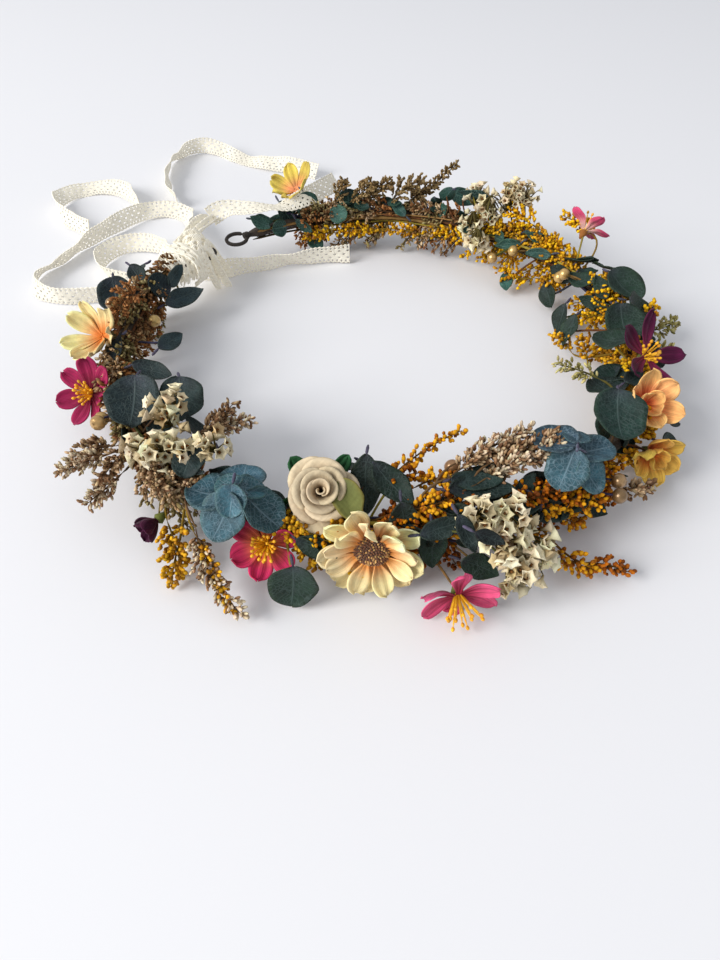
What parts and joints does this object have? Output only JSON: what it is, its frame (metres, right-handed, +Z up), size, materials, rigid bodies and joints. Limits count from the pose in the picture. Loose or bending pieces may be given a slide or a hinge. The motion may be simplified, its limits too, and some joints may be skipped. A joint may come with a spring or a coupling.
{
  "type": "flower crown",
  "caption": "Open wire ring headpiece dressed with dried and fabric flowers, leaves and lace ribbon, tied at the back through two end loops.",
  "frame": {"origin": "centre of the head opening, at the height of the table that the crown lies on", "axes": "+Z up through the opening, +Y towards the tied opening at the back of the head, -Y towards the forehead"},
  "size_m": [0.214, 0.3192, 0.0381],
  "materials": {
    "covered_wire": "matte dark brown paper covering",
    "cream_fabric": "pressed fabric petals, cream to amber",
    "dark_leaf": "preserved leaf, dark green, satin",
    "dry_grass": "dried grass, tan, matte",
    "eucalyptus": "preserved eucalyptus, blue green, satin",
    "floral_tape": "waxed crepe paper tape, dark brown and olive",
    "gold_pip": "pearlised gold",
    "goldenrod": "dried goldenrod, mustard, matte",
    "green_paper": "pale green mulberry paper",
    "lace": "ivory cotton lace, soft matte",
    "limonium": "dried sea lavender, tan and white, matte",
    "magenta_fabric": "pressed fabric petals, wine magenta",
    "peach_fabric": "pressed fabric petals, peach orange",
    "pink_fabric": "pressed fabric petals, rose pink",
    "purple_fabric": "pressed fabric petals, dark purple",
    "rose_paper": "mulberry paper, ivory beige",
    "seed_disc": "flocked brown seed disc",
    "stalk": "dry stalks and covered wire, dark brown",
    "stamen": "yellow waxed threads",
    "statice": "dried statice, cream, papery",
    "teal_leaf": "preserved leaf, teal green, satin",
    "yellow_fabric": "pressed fabric petals, butter yellow"
  },
  "bodies": {
    "right_half": {"daisy_centre": "seed_disc", "daisy_petals": "cream_fabric", "end_grass": "dry_grass", "end_leaves": "dark_leaf", "end_loop_right": "covered_wire", "eucalyptus_rosette": "eucalyptus", "eucalyptus_sprig": "eucalyptus", "frame_wire_right": "covered_wire", "front_leaves": "dark_leaf", "front_limonium": "limonium", "front_right_leaves": "dark_leaf", "front_statice": "statice", "gold_pips_right": "gold_pip", "goldenrod_bend": "goldenrod", "goldenrod_front": "goldenrod", "goldenrod_left": "goldenrod", "lace_bow_loop": "lace", "lace_inner_tail": "lace", "lace_knot": "lace", "lace_tail_high": "lace", "lace_tail_loop": "lace", "lace_tail_low": "lace", "low_pink_flower_petals": "pink_fabric", "low_pink_flower_stamens": "stamen", "magenta_flower_petals": "magenta_fabric", "magenta_flower_stamens": "stamen", "pink_flower_petals": "pink_fabric", "pink_flower_stamens": "stamen", "purple_bud": "purple_fabric", "rose_calyx": "green_paper", "rose_petals": "rose_paper", "side_grass": "dry_grass", "side_leaves": "dark_leaf", "side_limonium": "limonium", "side_statice": "statice", "stalks_right": "stalk", "stem_wrap_right": "floral_tape", "yellow_flower_petals": "yellow_fabric"},
    "left_half": {"back_flower_petals": "peach_fabric", "back_grass": "dry_grass", "back_leaves": "teal_leaf", "back_plumes": "limonium", "back_statice": "statice", "bend_leaves": "dark_leaf", "end_loop_left": "covered_wire", "frame_wire_left": "covered_wire", "gold_pips_left": "gold_pip", "goldenrod_back": "goldenrod", "goldenrod_inner": "goldenrod", "goldenrod_right": "goldenrod", "lace_drape": "lace", "peach_flower_petals": "peach_fabric", "purple_flower_petals": "purple_fabric", "purple_flower_stamens": "stamen", "right_sprigs": "limonium", "side_leaves_left": "dark_leaf", "stalks_left": "stalk", "stem_wrap_left": "floral_tape", "trumpet_flower_petals": "pink_fabric", "trumpet_flower_stamens": "stamen"}
  },
  "joints": [
    {"name": "front_bend", "type": "hinge", "parent": "right_half", "child": "left_half", "pos_m": [0, -0.088, 0.016], "axis": [0, 0, -1], "range_deg": [-1.5, 8]}
  ]
}
